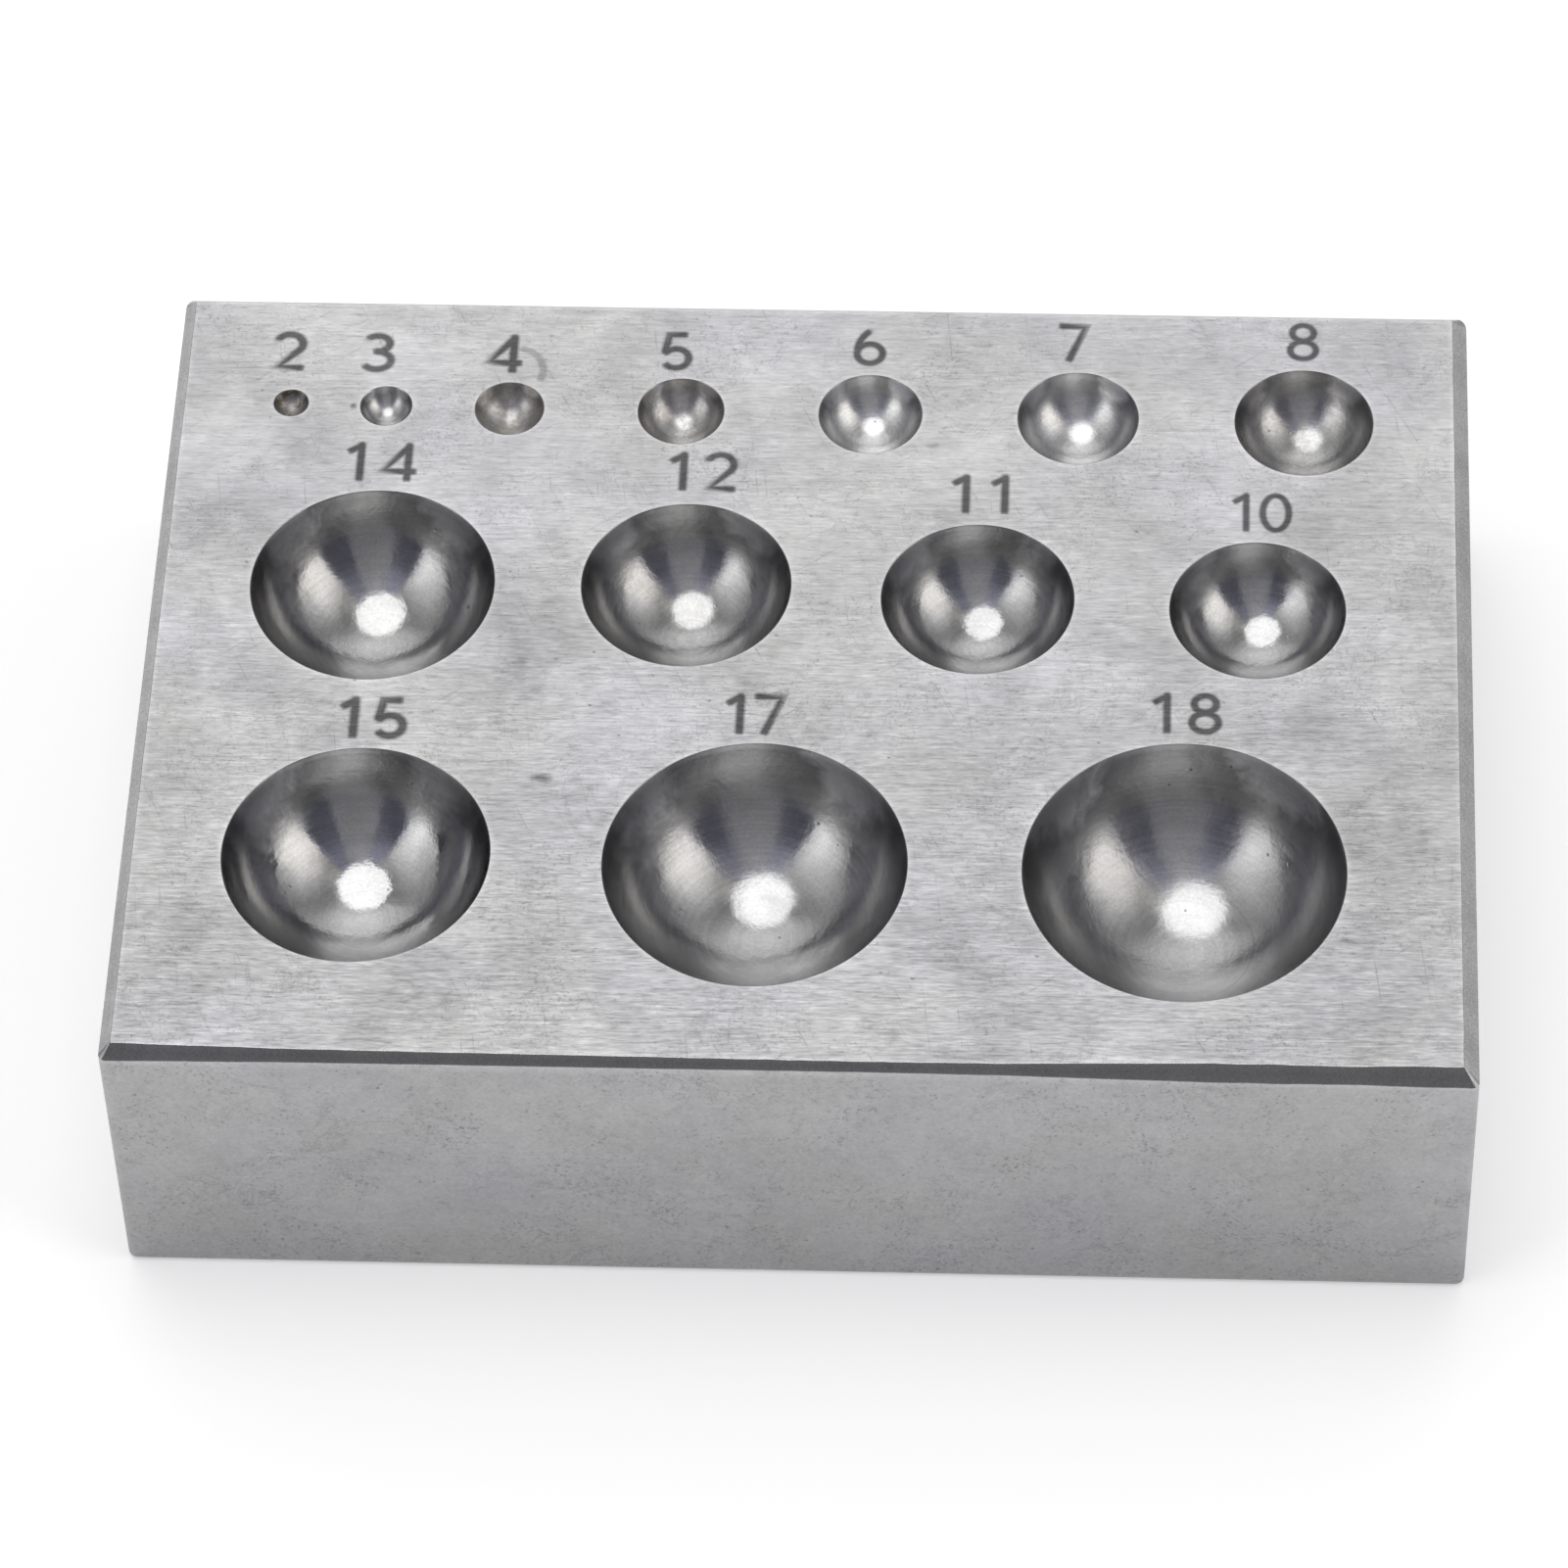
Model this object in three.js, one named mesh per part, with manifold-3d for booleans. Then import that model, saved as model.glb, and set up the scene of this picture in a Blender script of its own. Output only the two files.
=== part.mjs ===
// Dapping block: one solid steel block with three rows of round-bottomed pockets in its top face.
// Millimetres, +Z up, +X to the right, +Y to the back. The origin is the centre of the bottom face.

import * as THREE from 'three';
import { mergeVertices } from 'three/addons/utils/BufferGeometryUtils.js';
import Module from 'manifold-3d';

// The block, over its flat faces
const blockWidth = 75.6;
const blockDepth = 55.4;
const blockHeight = 20;

// The flats filed along its edges, each measured on either face that meets there
const frontTopFlat = 0.6;
const leftTopFlat = 0.68;
const rightTopFlat = 0.86;
const backTopFlat = 0.45;
const uprightFlat = 0.45;
const bottomFlat = 0.5;

// How far a cutter runs past the face that it cuts
const overrun = 2;

// How steep a pocket's wall is at its rim, in degrees from the top face
const rimSlope = 80;

// Length of one facet along a pocket's rim, and the fewest facets that a rim has
const rimFacet = 1.2;
const fewestFacets = 20;

// The land between the block's back edge and the back row's widest rim, and the same at the front
const backLand = 4.4;
const frontLand = 4.9;

// How the room left between the rows is shared out, from the back row forward
const rowGapShares = [0.44, 0.56];

// The rows from back to front. leftLand and rightLand are the lands at the row's ends, gapShares shares
// out the room that is left between its pockets, and drift is how far a pocket's centre sits off the row's
// line, to the back if positive.
const rows = [
  {
    leftLand: 5.92,
    rightLand: 5.56,
    gapShares: [0.106, 0.128, 0.19, 0.191, 0.192, 0.193],
    pockets: [
      { diameter: 2, drift: 0.17 },
      { diameter: 3, drift: 0.05 },
      { diameter: 4, drift: 0 },
      { diameter: 5, drift: 0 },
      { diameter: 6, drift: 0 },
      { diameter: 7, drift: -0.07 },
      { diameter: 8, drift: -0.14 }
    ]
  },
  {
    leftLand: 5.7,
    rightLand: 7.2,
    gapShares: [0.319, 0.332, 0.349],
    pockets: [
      { diameter: 14, drift: 0.25 },
      { diameter: 12, drift: 0.6 },
      { diameter: 11, drift: -0.1 },
      { diameter: 10, drift: -0.6 }
    ]
  },
  {
    leftLand: 5.7,
    rightLand: 7.2,
    gapShares: [0.496, 0.504],
    pockets: [
      { diameter: 15, drift: 0.17 },
      { diameter: 17, drift: 0 },
      { diameter: 18, drift: 0 }
    ]
  }
];

const wasm = await Module();
wasm.setup();

// Turns a closed three.js geometry into a solid
function solidOf(geometry) {
  const bare = geometry.clone();
  bare.deleteAttribute('normal');
  bare.deleteAttribute('uv');
  const merged = mergeVertices(bare);
  return new wasm.Manifold(new wasm.Mesh({
    numProp: 3,
    vertProperties: new Float32Array(merged.attributes.position.array),
    triVerts: new Uint32Array(merged.index.array)
  }));
}

// Turns a solid back into a flat-shaded three.js geometry
function geometryOf(solid) {
  const mesh = solid.getMesh();
  const geometry = new THREE.BufferGeometry();
  geometry.setAttribute('position', new THREE.BufferAttribute(new Float32Array(mesh.vertProperties), 3));
  geometry.setIndex(new THREE.BufferAttribute(new Uint32Array(mesh.triVerts), 1));
  const faceted = geometry.toNonIndexed();
  faceted.computeVertexNormals();
  return faceted;
}

// Centres of things of the given sizes set side by side from start to end, with the room that is left
// between them shared out by the given shares
function spread(start, end, sizes, shares) {
  const room = end - start - sizes.reduce((sum, size) => sum + size, 0);
  const total = shares.reduce((sum, share) => sum + share, 0);
  let edge = start;
  return sizes.map((size, i) => {
    const centre = edge + size / 2;
    edge += size + (i < shares.length ? room * shares[i] / total : 0);
    return centre;
  });
}

// The block's plan with its four upright edges cut off at 45 degrees
function planOutline() {
  const x = blockWidth / 2;
  const y = blockDepth / 2;
  const plan = new THREE.Shape();
  plan.moveTo(-x + uprightFlat, -y);
  plan.lineTo(x - uprightFlat, -y);
  plan.lineTo(x, -y + uprightFlat);
  plan.lineTo(x, y - uprightFlat);
  plan.lineTo(x - uprightFlat, y);
  plan.lineTo(-x + uprightFlat, y);
  plan.lineTo(-x, y - uprightFlat);
  plan.lineTo(-x, -y + uprightFlat);
  plan.closePath();
  return plan;
}

// A wedge that cuts a 45 degree flat off the straight edge that runs along X through the origin,
// between a face that looks to -Y and one that looks to +Z
function edgeWedge(length, flat) {
  const section = new THREE.Shape();
  section.moveTo(-overrun, -flat - overrun);
  section.lineTo(flat + overrun, overrun);
  section.lineTo(-overrun, overrun);
  section.closePath();
  const depth = length + 2 * overrun;
  const wedge = new THREE.ExtrudeGeometry(section, { depth, bevelEnabled: false });
  // The section's own x runs to +Y and its y to +Z once the extrusion lies along X
  wedge.translate(0, 0, -depth / 2);
  wedge.rotateY(Math.PI / 2);
  wedge.rotateX(Math.PI / 2);
  return wedge;
}

// The wedges for the four top edges and the four bottom edges
function edgeCutters() {
  const sides = [
    { turn: 0, reach: blockDepth / 2, length: blockWidth, topFlat: frontTopFlat },
    { turn: Math.PI / 2, reach: blockWidth / 2, length: blockDepth, topFlat: rightTopFlat },
    { turn: Math.PI, reach: blockDepth / 2, length: blockWidth, topFlat: backTopFlat },
    { turn: -Math.PI / 2, reach: blockWidth / 2, length: blockDepth, topFlat: leftTopFlat }
  ];
  const cutters = [];
  for (const side of sides) {
    const top = edgeWedge(side.length, side.topFlat);
    top.translate(0, -side.reach, blockHeight);
    top.rotateZ(side.turn);
    cutters.push(solidOf(top));

    const bottom = edgeWedge(side.length, bottomFlat);
    bottom.rotateX(Math.PI / 2);
    bottom.translate(0, -side.reach, 0);
    bottom.rotateZ(side.turn);
    cutters.push(solidOf(bottom));
  }
  return cutters;
}

// A round-bottomed cutter, the part of a ball that a rim of the given diameter cuts off, standing past
// the top face
function pocketCutter(diameter) {
  const radius = diameter / 2;
  const steepest = THREE.MathUtils.degToRad(rimSlope);
  const ball = radius / Math.sin(steepest);
  const ballCentre = ball * Math.cos(steepest);
  const facets = Math.max(fewestFacets, Math.PI * diameter / rimFacet);
  const quarterFacets = Math.ceil(facets / 4);
  const profile = [];
  for (let i = 0; i <= quarterFacets; i += 1) {
    const slope = steepest * i / quarterFacets;
    profile.push(new THREE.Vector2(ball * Math.sin(slope), ballCentre - ball * Math.cos(slope)));
  }
  profile.push(new THREE.Vector2(radius, overrun));
  profile.push(new THREE.Vector2(0, overrun));
  const cutter = new THREE.LatheGeometry(profile, quarterFacets * 4);
  cutter.rotateX(Math.PI / 2);
  return cutter;
}

// Every pocket with its place on the top face
function placedPockets() {
  const halfWidth = blockWidth / 2;
  const halfDepth = blockDepth / 2;
  const widest = rows.map((row) => Math.max(...row.pockets.map((pocket) => pocket.diameter)));
  const fromBack = spread(backLand, blockDepth - frontLand, widest, rowGapShares);
  return rows.flatMap((row, i) => {
    const diameters = row.pockets.map((pocket) => pocket.diameter);
    const across = spread(row.leftLand - halfWidth, halfWidth - row.rightLand, diameters, row.gapShares);
    return row.pockets.map((pocket, j) => ({
      diameter: pocket.diameter,
      x: across[j],
      y: halfDepth - fromBack[i] + pocket.drift
    }));
  });
}

// The block itself
function makeBlock() {
  let solid = solidOf(new THREE.ExtrudeGeometry(planOutline(), { depth: blockHeight, bevelEnabled: false }));
  for (const cutter of edgeCutters()) {
    solid = solid.subtract(cutter);
  }
  for (const pocket of placedPockets()) {
    const cutter = pocketCutter(pocket.diameter);
    cutter.translate(pocket.x, pocket.y, blockHeight);
    solid = solid.subtract(solidOf(cutter));
  }
  return geometryOf(solid);
}

const steel = new THREE.MeshStandardMaterial({ color: 0xbcbcbe, roughness: 0.38, metalness: 1 });
const block = new THREE.Mesh(makeBlock(), steel);
block.name = 'block';

const dappingBlock = new THREE.Group();
dappingBlock.name = 'dapping_block';
dappingBlock.add(block);

export default dappingBlock;
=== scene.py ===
"""Dapping block on a pale studio floor: one ground steel block with polished round pockets and numerals.

Metres, +Z up, +Y to the back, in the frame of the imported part. The block's flat bottom lies on z = 0.
"""

import math

import bpy
import numpy as np
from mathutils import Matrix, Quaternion, Vector, geometry, noise


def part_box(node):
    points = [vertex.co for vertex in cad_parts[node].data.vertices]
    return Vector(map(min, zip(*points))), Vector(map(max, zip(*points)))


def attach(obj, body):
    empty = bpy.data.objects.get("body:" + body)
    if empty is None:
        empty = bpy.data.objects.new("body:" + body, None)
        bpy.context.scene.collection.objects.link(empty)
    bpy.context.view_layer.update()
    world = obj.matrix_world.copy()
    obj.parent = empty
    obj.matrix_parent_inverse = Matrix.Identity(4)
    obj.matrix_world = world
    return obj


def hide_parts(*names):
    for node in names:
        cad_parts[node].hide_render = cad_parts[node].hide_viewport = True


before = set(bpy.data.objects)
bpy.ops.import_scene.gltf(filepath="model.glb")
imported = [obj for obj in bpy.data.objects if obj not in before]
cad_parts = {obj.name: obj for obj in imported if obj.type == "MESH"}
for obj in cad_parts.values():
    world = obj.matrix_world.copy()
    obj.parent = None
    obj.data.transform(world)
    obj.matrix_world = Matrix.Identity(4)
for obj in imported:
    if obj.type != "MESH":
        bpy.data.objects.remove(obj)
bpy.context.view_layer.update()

MM = 0.001
LOW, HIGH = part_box("block")
WIDTH = HIGH.x - LOW.x
DEPTH = HIGH.y - LOW.y
TOP = HIGH.z

# The camera, where the photograph was taken from: a long lens a little to the right of the block
CAMERA_AT = Vector((18.152, -274.003, 360.212)) * MM
LOOKS_AT = Vector((-0.889, -8.17, 20.0)) * MM
CAMERA_ROLL = math.radians(-2.209)
LENS_MM = 176.87
SENSOR_MM = 36.0

# The pockets' layout, as lands and gap shares from the block's edges, from the back row forward
BACK_LAND = 4.4 * MM
FRONT_LAND = 4.9 * MM
ROW_GAP_SHARES = (0.44, 0.56)
# Each row: land at the left, land at the right, gap shares, and its pockets as diameter and drift in mm
ROWS = (
    (5.92, 5.56, (0.106, 0.128, 0.19, 0.191, 0.192, 0.193),
     ((2, 0.17), (3, 0.05), (4, 0), (5, 0), (6, 0), (7, -0.07), (8, -0.14))),
    (5.7, 7.2, (0.319, 0.332, 0.349),
     ((14, 0.25), (12, 0.6), (11, -0.1), (10, -0.6))),
    (5.7, 7.2, (0.496, 0.504),
     ((15, 0.17), (17, 0), (18, 0))),
)
# Brown residue left in a pocket, from 0 for clean to 1, where there is any
RESIDUE = {2: 1.0, 3: 0.1, 4: 0.5, 5: 0.35, 8: 0.2, 12: 0.1, 14: 0.08}

# Depth of a pocket as a share of its radius: its surface is part of a slightly wider ball
POCKET_DEPTH_SHARE = 0.84

# How dull a pocket's polish is, as a roughness, where it differs from the usual
USUAL_DULLNESS = 0.14
DULLNESS = {
    2: 0.35, 3: 0.22, 4: 0.31, 5: 0.22, 6: 0.23, 7: 0.23, 8: 0.2, 14: 0.12, 15: 0.1, 17: 0.16, 18: 0.18,
}

# How pale a pocket's steel is against the others' 1, where it differs
PALENESS = {2: 0.8, 3: 1.12, 4: 1.15, 5: 1.15, 6: 1.35, 7: 1.28, 8: 1.12}

# How far a pocket's rim is rounded over, and the band beside each sharp edge that is worn and painted
# lighter, partly wear and partly a painted highlight
RIM_BREAK = 0.05 * MM
WEAR_AND_SHEEN_BAND = 0.3 * MM

# The flats filed on the top edges. The front one was filed by hand, so its size changes along the edge:
# share of the width from the left, and its size in mm
FRONT_FLAT = ((0.0, 0.74), (0.05, 0.66), (0.14, 0.54), (0.28, 0.5), (0.42, 0.47), (0.56, 0.43), (0.66, 0.48),
              (0.73, 0.62), (0.8, 0.74), (0.86, 0.78), (0.91, 0.72), (0.96, 0.81), (1.0, 0.84))
# The fine unevenness of the front flat: how many waves along the edge, where in the noise, and its size in mm
FRONT_RIPPLES = ((46, 3.1, 0.035), (130, 7.7, 0.015))
LEFT_FLAT = 0.68 * MM
RIGHT_FLAT = 0.86 * MM
BACK_FLAT = 0.45 * MM
# The left and right flats, each as its size and where in the noise its unevenness lies, and then how many
# waves along the edge that has and its size in mm
SIDE_FLATS = {"left": (LEFT_FLAT, 11.3), "right": (RIGHT_FLAT, 17.9)}
SIDE_WAVES = 30
SIDE_RIPPLE = 0.03
EDGE_BREAK = 0.02 * MM
CORNER_RADIUS = 0.45 * MM
# Corner radii of the four rings that shape the top flats, from the top face down
FLAT_CORNER_RADII = (0.05 * MM, 0.06 * MM, 0.25 * MM, 0.4 * MM)
BOTTOM_RADIUS = 0.5 * MM

# The numerals, etched into the top face. A mark is darkest within MARK_CORE of its pen line and fades out
# at MARK_REACH from it.
NUMERAL_HEIGHT = 3.05 * MM
NUMERAL_STROKE = 0.45 * MM
MARK_CORE = 0.13 * MM
MARK_REACH = 0.32 * MM
MARK_SUNK = 0.012 * MM
# Numeral by pocket: how far its middle is to the right of the pocket's, its foot above the rim and the gap
# between its digits, in mm, and how bold it came out
NUMERAL_PLACES = {
    2: (-0.4, 1.5, 0, 1.15), 3: (-0.72, 1.1, 0, 1.1), 4: (-0.56, 0.7, 0, 1.15), 5: (-0.49, 0.6, 0, 1.05),
    6: (-0.2, 0.7, 0, 1.0), 7: (-0.32, 0.8, 0, 1.05), 8: (-0.05, 0.7, 0, 0.92),
    14: (-0.2, 0.66, 1.03, 1.05), 12: (0.56, 0.96, 0.95, 1.08), 11: (-0.06, 0.8, 1.15, 1.05),
    10: (0.22, 0.74, 0.5, 0.9), 15: (0.27, 0.68, 0.85, 1.2), 17: (-0.37, 0.58, 0.5, 1.08),
    18: (0.05, 0.67, 0.95, 1.0),
}
# An arc-shaped smear beside the 4: its middle in mm right of and behind the pocket's, its radius in mm, where
# it starts and ends in degrees from the right, and how dark it is
SMEAR_POCKET = 4
SMEAR_MIDDLE = (0.05, 2.95)
SMEAR_RADIUS = 1.75
SMEAR_START, SMEAR_END = 75, -22
SMEAR_STRENGTH = 0.42


def spread(start, end, sizes, shares):
    """Centres of things set side by side from start to end, the room between them shared out by shares."""
    room = end - start - sum(sizes)
    total = sum(shares)
    centres = []
    edge = start
    for i, size in enumerate(sizes):
        centres.append(edge + size / 2)
        edge += size
        if i < len(shares):
            edge += room * shares[i] / total
    return centres


def pocket_places():
    """Every pocket as (diameter in mm, x, y, radius)."""
    widest = [max(d for d, _ in row[3]) * MM for row in ROWS]
    from_back = spread(BACK_LAND, DEPTH - FRONT_LAND, widest, ROW_GAP_SHARES)
    places = []
    for (left, right, shares, pockets), back in zip(ROWS, from_back):
        start = LOW.x + left * MM
        end = HIGH.x - right * MM
        across = spread(start, end, [d * MM for d, _ in pockets], shares)
        for x, (diameter, drift) in zip(across, pockets):
            places.append((diameter, x, HIGH.y - back + drift * MM, diameter * MM / 2))
    return places


POCKETS = pocket_places()


# Camera

def add_camera():
    """The camera at the photograph's place, rolled as it was."""
    data = bpy.data.cameras.new("camera")
    data.lens = LENS_MM
    data.sensor_width = SENSOR_MM
    data.clip_start = 0.01
    data.clip_end = 20
    camera = bpy.data.objects.new("camera", data)
    camera.location = CAMERA_AT
    camera.rotation_mode = "QUATERNION"
    aim = (LOOKS_AT - CAMERA_AT).to_track_quat("-Z", "Y")
    camera.rotation_quaternion = aim @ Quaternion((0, 0, 1), CAMERA_ROLL)
    bpy.context.scene.collection.objects.link(camera)
    bpy.context.scene.camera = camera


add_camera()


# Numerals, as strokes in a box one unit high

PEN = NUMERAL_STROKE / NUMERAL_HEIGHT
DIGIT_WIDTH = 0.64
ONE_WIDTH = 0.36


def arc(cx, cy, rx, ry, start, end, steps=14):
    """Points on an ellipse from one angle to another, in degrees."""
    angles = np.radians(np.linspace(start, end, steps + 1))
    return [(cx + rx * math.cos(a), cy + ry * math.sin(a)) for a in angles]


def digit_strokes(digit):
    """The pen lines that draw a digit, each a list of points, inside a box one unit high."""
    left = PEN / 2
    right = DIGIT_WIDTH - PEN / 2
    foot = PEN / 2
    head = 1 - PEN / 2
    mid = DIGIT_WIDTH / 2
    wide = (right - left) / 2
    if digit == "0":
        tall = (head - foot) / 2
        return [arc(mid, 0.5, wide, tall, 0, 180), arc(mid, 0.5, wide, tall, 180, 360)]
    if digit == "1":
        stem = ONE_WIDTH - PEN / 2
        return [[(stem, 0), (stem, 1)], [(stem, head - 0.02), (stem - 0.27, head - 0.2)]]
    if digit == "2":
        bowl = arc(mid - 0.01, 0.68, wide + 0.01, head - 0.68, 165, -38)
        return [bowl + [(left - 0.03, foot), (DIGIT_WIDTH, foot)]]
    if digit == "3":
        upper = arc(mid - 0.04, 0.73, wide - 0.01, head - 0.73, 155, -92)
        lower = arc(mid - 0.03, 0.3, wide + 0.03, 0.3 - foot, 95, -155)
        return [upper, lower]
    if digit == "4":
        stem = right - 0.07
        return [[(stem, 0), (stem, 1)], [(stem, head - 0.04), (left - 0.1, 0.27), (DIGIT_WIDTH + 0.05, 0.27)]]
    if digit == "5":
        bowl = arc(mid, 0.32, wide, 0.32 - foot, 140, -155)
        return [[(right - 0.02, head), (left + 0.09, head), (left + 0.03, 0.49)], bowl]
    if digit == "6":
        bowl = [arc(mid, 0.32, wide, 0.32 - foot, 0, 180), arc(mid, 0.32, wide, 0.32 - foot, 180, 360)]
        ascender = arc(mid + 0.2, 0.34, wide + 0.2, head - 0.3, 172, 112, 8)
        return bowl + [ascender]
    if digit == "7":
        return [[(0, head), (right, head), (mid - 0.12, 0)]]
    narrow = wide - 0.04
    upper = [arc(mid, 0.73, narrow, head - 0.73, 0, 180), arc(mid, 0.73, narrow, head - 0.73, 180, 360)]
    lower = [arc(mid, 0.29, wide, 0.29 - foot, 0, 180), arc(mid, 0.29, wide, 0.29 - foot, 180, 360)]
    return upper + lower


def inked(points, pen):
    """The outline of a pen line of even width, with mitred corners, as a closed polygon."""
    points = [Vector(p) for p in points]
    sides = []
    for i, p in enumerate(points):
        before = (p - points[i - 1]).normalized() if i > 0 else None
        after = (points[i + 1] - p).normalized() if i < len(points) - 1 else None
        if before is None:
            normal = Vector((-after.y, after.x))
        elif after is None:
            normal = Vector((-before.y, before.x))
        else:
            bisector = (before + after).normalized()
            normal = Vector((-bisector.y, bisector.x))
            normal /= max(normal.dot(Vector((-before.y, before.x))), 0.4)
        sides.append(normal * (pen / 2))
    left = [p + s for p, s in zip(points, sides)]
    right = [p - s for p, s in zip(points, sides)]
    return [tuple(p) for p in left + right[::-1]]


def numeral_lines():
    """The pen lines of all numerals on the top face, in metres, each as (points, strength, boldness)."""
    lines = []
    for diameter, x, y, radius in POCKETS:
        aside, above, gap, boldness = NUMERAL_PLACES[diameter]
        text = str(diameter)
        widths = [(ONE_WIDTH if c == "1" else DIGIT_WIDTH) * NUMERAL_HEIGHT for c in text]
        total = sum(widths) + gap * MM * (len(text) - 1)
        pen_x = x + aside * MM - total / 2
        pen_y = y + radius + above * MM
        for c, width in zip(text, widths):
            strokes = digit_strokes(c)
            for k, stroke in enumerate(strokes):
                points = [(pen_x + u * NUMERAL_HEIGHT, pen_y + v * NUMERAL_HEIGHT) for u, v in stroke]
                ends = [0 if fits_into(strokes, k, end) else NUMERAL_STROKE / 2 for end in (0, -1)]
                lines.append((drawn_in(points, *ends), 1.0, boldness))
            pen_x += width + gap * MM
        if diameter == SMEAR_POCKET:
            cx, cy = x + SMEAR_MIDDLE[0] * MM, y + SMEAR_MIDDLE[1] * MM
            smear = arc(cx, cy, SMEAR_RADIUS * MM, SMEAR_RADIUS * MM, SMEAR_START, SMEAR_END)
            lines.append((drawn_in(smear, 0, 0), SMEAR_STRENGTH, 1.0))
    return lines


def drawn_in(points, first_by, last_by):
    """A pen line with its ends drawn in by the given lengths."""
    points = [Vector(p) for p in points]
    points[0] += (points[1] - points[0]).normalized() * first_by
    points[-1] += (points[-2] - points[-1]).normalized() * last_by
    return points


def led_on(points, by):
    """A pen line led on past both its ends."""
    first = points[0] + (points[0] - points[1]).normalized() * by
    last = points[-1] + (points[-1] - points[-2]).normalized() * by
    return [first] + points + [last]


def fits_into(strokes, k, end):
    """Whether a stroke's first (0) or last (-1) end lies on another stroke of the same digit."""
    point = Vector(strokes[k][end])
    others = [Vector(p) for i, stroke in enumerate(strokes) if i != k for p in denser(stroke)]
    return any((point - p).length < PEN / 2 for p in others)


def denser(points, parts=8):
    """The points of a pen line with more between them."""
    found = []
    for (ax, ay), (bx, by) in zip(points, points[1:]):
        found += [(ax + (bx - ax) * i / parts, ay + (by - ay) * i / parts) for i in range(parts + 1)]
    return found


def mark_at(x, y, lines):
    """How strongly a place on the top face is marked, from 0 to 1."""
    mark = 0.0
    for points, strength, boldness in lines:
        for (ax, ay), (bx, by) in zip(points, points[1:]):
            dx, dy = bx - ax, by - ay
            share = max(0, min(1, ((x - ax) * dx + (y - ay) * dy) / (dx * dx + dy * dy)))
            away = math.hypot(x - ax - dx * share, y - ay - dy * share) / boldness
            fade = (MARK_REACH - away) / (MARK_REACH - MARK_CORE)
            mark = max(mark, strength * max(0, min(1, fade)))
    return mark


# The block's mesh

# The finishes, in the order in which the block's materials are added at the end
GROUND, FILED, SIDE, UNDERSIDE, POLISHED = range(5)


class MeshParts:
    """Collects vertices with the values that the steel's looks need, and faces with their finish."""

    VALUES = ("wear", "mark", "turning_mm", "steepness", "pocket_seed", "residue", "dullness", "paleness")

    def __init__(self):
        self.points = []
        self.values = {name: [] for name in self.VALUES}
        self.faces = []
        self.finish = []
        self.smooth = []

    def point(self, x, y, z, **values):
        self.points.append((x, y, z))
        for name in self.VALUES:
            self.values[name].append(values.get(name, 0.0))
        return len(self.points) - 1

    def face(self, corners, finish, smooth=False):
        self.faces.append(corners)
        self.finish.append(finish)
        self.smooth.append(smooth)

    def band(self, upper, lower, finish, smooth=False):
        """Quads between two closed loops of the same length, the upper one seen first from outside."""
        n = len(upper)
        for i in range(n):
            j = (i + 1) % n
            self.face((upper[i], lower[i], lower[j], upper[j]), finish, smooth)


def inside(x, y, outline):
    """Whether a point lies inside a closed outline."""
    hit = False
    px, py = outline[-1]
    for qx, qy in outline:
        if (py > y) != (qy > y) and x < (qx - px) * (y - py) / (qy - py) + px:
            hit = not hit
        px, py = qx, qy
    return hit


def front_flat(share):
    """Size of the hand-filed front flat at a share of the width, with the file's small unevenness."""
    shares = [s for s, _ in FRONT_FLAT]
    sizes = [f for _, f in FRONT_FLAT]
    size = float(np.interp(share, shares, sizes))
    ripple = sum(noise.noise(Vector((share * waves, at, 0))) * height for waves, at, height in FRONT_RIPPLES)
    return (size + ripple) * MM


# Depths below the top of the rings down the sides, in mm
SIDE_RINGS = (1.2, 3, 6, 10, 14, 17.5, 19.0)

# The rounding of the bottom edges: its steps, how much tighter the corners get with it, and how tight at most
BOTTOM_STEPS = 5
CORNER_TIGHTENING = 0.6
TIGHTEST_CORNER = 0.1 * MM

# How many steps a loop round the block has at a corner and along each side
CORNER_STEPS = 6
FRONT_STEPS = 240
SIDE_STEPS = 90
BACK_STEPS = 120


def around_block(inset, drop, radius):
    """One closed loop round the block, anticlockwise from above.

    inset and drop are each given a side and a share along it, and say how far the loop lies inside the
    block's outline and below its top. radius is the loop's corner radius.
    """
    sides = (("front", FRONT_STEPS), ("right", SIDE_STEPS), ("back", BACK_STEPS), ("left", SIDE_STEPS))
    loop = []
    left = LOW.x + inset("left", 0)
    right = HIGH.x - inset("right", 0)
    for k, (name, steps) in enumerate(sides):
        for i in range(steps + 1):
            share = i / steps
            away = inset(name, share)
            z = TOP - drop(name, share)
            if name == "front":
                x = left + radius + (right - left - 2 * radius) * share
                loop.append((x, LOW.y + away, z))
            elif name == "right":
                y = LOW.y + inset("front", 1) + radius
                y += (HIGH.y - inset("back", 0) - radius - y) * share
                loop.append((HIGH.x - away, y, z))
            elif name == "back":
                x = right - radius - (right - left - 2 * radius) * share
                loop.append((x, HIGH.y - away, z))
            else:
                y = HIGH.y - inset("back", 1) - radius
                y += (LOW.y + inset("front", 0) + radius - y) * share
                loop.append((LOW.x + away, y, z))
        follower = sides[(k + 1) % 4][0]
        ax, ay, az = loop[-1]
        turn = -math.pi / 2 + k * math.pi / 2
        centre = (ax - radius * math.cos(turn), ay - radius * math.sin(turn))
        bz = TOP - drop(follower, 0)
        for i in range(1, CORNER_STEPS):
            angle = turn + math.pi / 2 * i / CORNER_STEPS
            z = az + (bz - az) * i / CORNER_STEPS
            loop.append((centre[0] + radius * math.cos(angle), centre[1] + radius * math.sin(angle), z))
    return loop


def top_flat(side, share):
    """Size of the filed flat on a top edge."""
    if side == "front":
        return front_flat(share)
    if side == "back":
        return BACK_FLAT
    size, at = SIDE_FLATS[side]
    return size + noise.noise(Vector((share * SIDE_WAVES, at, 0))) * SIDE_RIPPLE * MM


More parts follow.
